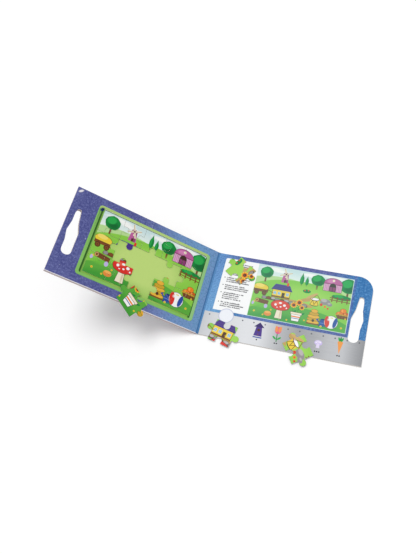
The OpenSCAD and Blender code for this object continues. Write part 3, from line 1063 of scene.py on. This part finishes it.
strip_stops = [(p, rgb(v - 2, v, v + 4)) for p, v in strip_tones]
strip_ramp = place.node("ShaderNodeValToRGB", {"stops": strip_stops}, {0: x * (1 / panel_width)})
brushed = place.stretched(30, 0.3, 1).noise(1.0, 2)
strip = brushed.scaled(0.5, -0.22).mix(strip_ramp, strip_glint)
rivet_cell = place.placed((rivet_first, rivet_line, 0), 0, (rivet_pitch, 1, 1))
rivet_x, rivet_y = rivet_cell.axes()
rivet_across = (rivet_x - rivet_x.calc("ROUND")) * rivet_pitch
rivet_reach = (rivet_across * rivet_across + rivet_y * rivet_y).calc("SQRT")
strip = (rivet_reach - rivet_round).inside(0.4).mix(strip, rivet_grey)
strip = (abs(rivet_reach - rivet_eye) - 0.12).inside(0.3).mix(strip, rivet_slot)

# Four things to find in the picture, each over the number of times it is there, shown as dots.
find_dot = rgb(40, 42, 52)
dot_pitch = 3.4
dot_line = 10.5
dot_wide = 2.5
tulip_pink = rgb(226, 92, 138)
tulip_side = rgb(240, 150, 90)
mushroom_cap = rgb(206, 190, 240)
mushroom_stalk = rgb(228, 218, 246)
mushroom_shine = rgb(232, 222, 250)
carrot_orange = rgb(240, 160, 84)
tower = [
    (trapeze, 0, 17, 14, 18, violet), (gable, 0, 33, 18, 9, violet_dark),
    (oval, 0, 28, 5, 5, brown_dark), (block, 0, 20, 1.2, 3, brown), (block, 0, 14.6, 15, 2, royal),
]
tulip = [
    (block, 0, 21, 1.5, 16, leaf, 3), (oval, -4, 20, 8, 3.2, leaf_light, -40),
    (oval, 4, 20, 8, 3.2, leaf_light, 40), (oval, 0, 34, 11, 13, tulip_pink),
    (oval, -3, 36, 5, 11, tulip_side, 8), (oval, 3, 36, 5, 11, tulip_side, -8),
]
mushroom = [
    (oval, 0, 26, 13, 9, mushroom_cap), (trapeze, 0, 17, 6, 8, mushroom_stalk),
    (oval, 0, 28, 8, 4, mushroom_shine, 0, 2),
    (oval, -3.7, 26, 2, 2, white), (oval, 3.3, 27, 2.4, 2, white),
]
carrot = [
    (gable, 0, 34, 9, 20, carrot_orange, 180), (oval, 0, 33.5, 9, 6, carrot_orange),
    (oval, -2.5, 39, 3, 8, leaf_light, 20), (oval, 2.5, 39, 3, 8, leaf_light, -20),
    (oval, 0, 40, 2.4, 8, leaf),
]
for middle, count, find in ((100.8, 1, tower), (133, 2, tulip), (201.7, 3, mushroom), (236.5, 2, carrot)):
    dot_places = [dot_pitch * (i - (count - 1) / 2) for i in range(count)]
    dots = [(oval, across, dot_line, dot_wide, dot_wide, find_dot) for across in dot_places]
    strip = paint(place, strip, at(middle, 0, find + dots))
colour = (y - strip_high).inside().mix(colour, strip)
for grow, soft, tint in ((0, 0.6, badge_ring), (-2.2, 1.6, badge_white)):
    size = badge[2] * 2 + grow
    colour = oval(place, badge[0], badge[1], size, size, 0, soft).mix(colour, tint)
finish(place, cut_edge(place, cover_frame, colour), 0.38, place.noise(1.6, 2), 0.01)
dress(cover_sheet, "cover_inner_print")


# The outer paper: one printed sheet glued round the outside of cover, spine and tray back, night
# blue in a red frame. The cover's copy, the front, is the face on the table and has four joined
# puzzle pieces. The tray's copy, the back, shows the finished picture over greyed text.
night_blue = rgb(44, 54, 118)
night_dusk = rgb(26, 32, 84)
frame_red = rgb(190, 38, 48)
rubbed_grey = rgb(150, 146, 168)
frame_wide = 5.0
cream_line_gap = 1.3
cream_line_half = 0.4
cover_round = 26.0
motif_side = 42.0
motif_centre = (panel_width / 2, panel_depth / 2)
back_box = (-204, 62, -71, 140)
back_text_top = 52.0


def outer_paper(name, panel, side, design, corner_round, bare_sides):
    """Starry night blue with a panel's own design, and a red frame and a cream line that follow
    the panel's edges: inside a round corner, the distance to the edge is the radius less the
    distance to the corner's centre. Cut sides show bare paper where asked."""
    material, place = panel_material(name, panel)
    colour = design(place, starry(place, night_blue, indigo_pale, night_dusk, 0.6))
    x, y = place.axes()
    past_x, past_y = x * side - (panel_width - corner_round), y - (panel_depth - corner_round)
    round_reach = (past_x.most(0) * past_x.most(0) + past_y.most(0) * past_y.most(0)).calc("SQRT")
    to_edge = (round_reach + past_x.most(past_y).least(0) - corner_round).most(-y).most(x * -side)
    colour = (abs(to_edge + frame_wide + cream_line_gap) - cream_line_half).inside().mix(colour, cream)
    colour = (-to_edge - frame_wide).inside().mix(colour, frame_red)
    scuff = place.noise(0.35, 6, 0.7)
    colour = scuff.scaled(0.6, -0.3).mix(colour, rubbed_grey)
    if bare_sides:
        colour = cut_edge(place, panel @ Matrix.Rotation(math.pi, 4, "X"), colour)
    finish(place, colour, scuff * 0.2 + 0.32, place.noise(2.2, 2), 0.01)
    return material


def front_design(place, colour):
    """Four square pieces round the middle, each with a round knob in the next one."""
    middle_x, middle_y = motif_centre
    strokes = []
    quarters = [((-1, 1), scarlet), ((1, 1), butter), ((1, -1), leaf_light), ((-1, -1), orange)]
    for (right, up), tint in quarters:
        x, y = middle_x + right * motif_side / 2, middle_y + up * motif_side / 2
        strokes += [(block, x, y, motif_side + 1.5, motif_side + 1.5, cream),
                    (block, x, y, motif_side - 1, motif_side - 1, tint)]
    knobs = [((0, 1), (1, 0)), ((1, 0), (0, -1)), ((0, -1), (-1, 0)), ((-1, 0), (0, 1))]
    for ((right, up), (out_x, out_y)), (_, tint) in zip(knobs, quarters):
        x, y = middle_x + right * motif_side / 2, middle_y + up * motif_side / 2
        strokes += [(oval, x + out_x * 6, y + out_y * 6, 16, 16, cream),
                    (oval, x + out_x * 6, y + out_y * 6, 14, 14, tint),
                    (block, x, y, 8, 8, tint)]
    return paint(place, colour, strokes)


def back_design(place, colour):
    """The picture in a cream border, reading right from behind, and two greyed rows under it."""
    x0, y0, x1, y1 = back_box
    scale = ((x0 - x1) / picture_size[0], (y1 - y0) / picture_size[1], 1)
    colour = box_mask(place, (x0 - 1.5, y0 - 1.5, x1 + 1.5, y1 + 1.5)).mix(colour, cream)
    colour = box_mask(place, back_box).mix(colour, picture_colour(place.placed((x1, y0, 0), 0, scale)))
    words = greyed_text(place, x0, back_text_top, [(0, 3, x1), (4, 2, x1 - 10)])
    return words.mix(colour, cream)


front_paper = outer_paper("cover_outer_paper", cover_frame, 1, front_design, cover_round, True)
back_paper = outer_paper("tray_outer_paper", tray_frame, -1, back_design, 0.5, False)
dress(front_paper, "cover_outer_wrap")
dress(back_paper, "tray_outer_wrap")


# The gutter: the inner lining and the outer paper run on across the fold as two soft sheets,
# creased at both panels. Each sheet is two strips, so that every strip crosses one crease.
gutter_wide = 2.8
gutter_half = gutter_wide / 2 / math.cos(lean / 2)
sheet_thick = 0.28
strip_end_gap = 0.02
strip_rings = 9
crease_shade_u = -2.2
crease_shade_half = 0.7
cover_half_u = -1.1
crease_gap = 0.15
gutter_blue = rgb(62, 112, 162)
gutter_dark = rgb(36, 80, 132)
gutter_painted_light = rgb(88, 140, 192)
spine_corner = (case_corner + Vector((gutter_half, 0, cover_thick))) / 1000
spine_frame = Matrix.Translation(spine_corner) @ Matrix.Rotation(lean / 2, 4, "Y")


def crease_strip(name, centre_line, material):
    """A sheet along the fold: a centre line across it, given as points with a width sideways,
    thickened by half each way along its normals and run from the near edge to the far one."""
    line = np.asarray(centre_line, float)
    along = np.gradient(line, axis=0)
    along /= np.linalg.norm(along, axis=1)[:, None]
    normal = np.stack([-along[:, 1], along[:, 0]], 1)
    aside = normal * sheet_thick / 2
    loop = np.concatenate([line + aside, (line - aside)[::-1]])
    count = len(loop)
    depths = np.linspace(strip_end_gap, panel_depth - strip_end_gap, strip_rings)
    rings = [np.column_stack([loop[:, 0], np.full(count, d), loop[:, 1]]) for d in depths]
    points = np.concatenate(rings)
    row_points = points / 1000 + np.array(case_corner) / 1000
    faces = [face[::-1] for face in capped(len(rings), count)]
    made = new_object(name, row_points, faces, material)
    layer = made.data.uv_layers.new(name="UVMap")
    corner = np.zeros(len(made.data.loops), int)
    made.data.loops.foreach_get("vertex_index", corner)
    layer.data.foreach_set("uv", (points[corner][:, :2] / 100).ravel())
    return made


def bend_line(points, steps=6):
    """Smooth curve through control points: a uniform quadratic spline of their midpoints."""
    p = np.asarray(points, float)
    middles = (p[:-1] + p[1:]) / 2
    t = np.linspace(0, 1, steps)[:, None]
    parts = [p[:1]]
    for a, b, c in zip(middles[:-1], p[1:-1], middles[1:]):
        parts.append((1 - t) ** 2 * a + 2 * t * (1 - t) * b + t ** 2 * c)
    parts.append(p[-1:])
    line = np.concatenate(parts)
    keep = np.concatenate([[True], np.linalg.norm(np.diff(line, axis=0), axis=1) > 1e-6])
    return line[keep]


def gutter_point(panel, x, z):
    """A point across the fold, in case millimetres, from millimetres in a panel's frame."""
    point = panel @ Vector((x / 1000, 0, z / 1000))
    return (point.x * 1000 - case_corner.x, point.z * 1000)


def fold_material(name):
    """A material laid out by the strips' own UV map, in millimetres across the fold and along it."""
    material = bpy.data.materials.new(name)
    uv = start_tree(material).node("ShaderNodeUVMap", {}, {}, "UV")
    return material, uv.stretched(0.01, 0.01, 0.01)


def in_row(point):
    """A point across the fold as metres in the row frame, on the case's middle line."""
    return (point[0] + case_corner.x) / 1000, 0, point[1] / 1000


lining_paper, uv = fold_material("gutter_lining_paper")
u = uv.axis(1, 0, 0)
crease_shade = (abs(u - crease_shade_u) - crease_shade_half).inside(1.0)
# Painted light: the cover's half of the lining is paler, which lifts the shade on its slope.
colour = (cover_half_u - u).inside(1.2).mix(gutter_blue, gutter_painted_light)
colour = crease_shade.mix(colour, gutter_dark)
colour = starry(uv, colour, cover_pale, gutter_dark, 0.5)
finish(uv, colour, 0.45, uv.noise(1.6, 3), 0.02)

fold_paper, uv = fold_material("fold_outer_paper")
rub = uv.noise(0.5, 5, 0.7)
finish(uv, rub.scaled(0.8, -0.4).mix(night_blue, rubbed_grey), 0.45, rub, 0.02)

for kind, depth_in, material, replaced, slot_name in (
    ("lining", 0.15, lining_paper, "spine_lining", "printed_paper"),
    ("wrap", 0.47, fold_paper, "spine_wrap", "outer_paper"),
):
    cover_end = gutter_point(cover_frame, gutter_half + crease_gap, -depth_in)
    tray_end = gutter_point(tray_frame, -gutter_half - crease_gap, -depth_in)
    cover_crease, quarter, middle, three_quarters, tray_crease = [
        gutter_point(spine_frame, -gutter_wide * share, -depth_in) for share in (0, 0.25, 0.5, 0.75, 1)
    ]
    for side, towards, first, last, line in (
        ("cover", ("cover", "spine"), cover_end, quarter,
         [middle, quarter, cover_crease, cover_end]),
        ("tray", ("spine", "tray"), three_quarters, tray_end,
         [tray_end, tray_crease, three_quarters, middle]),
    ):
        strip = crease_strip(f"gutter_{kind}_{side}", bend_line(line), material)
        in_row(first)
        in_row(last)
        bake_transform(strip)
        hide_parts(replaced)
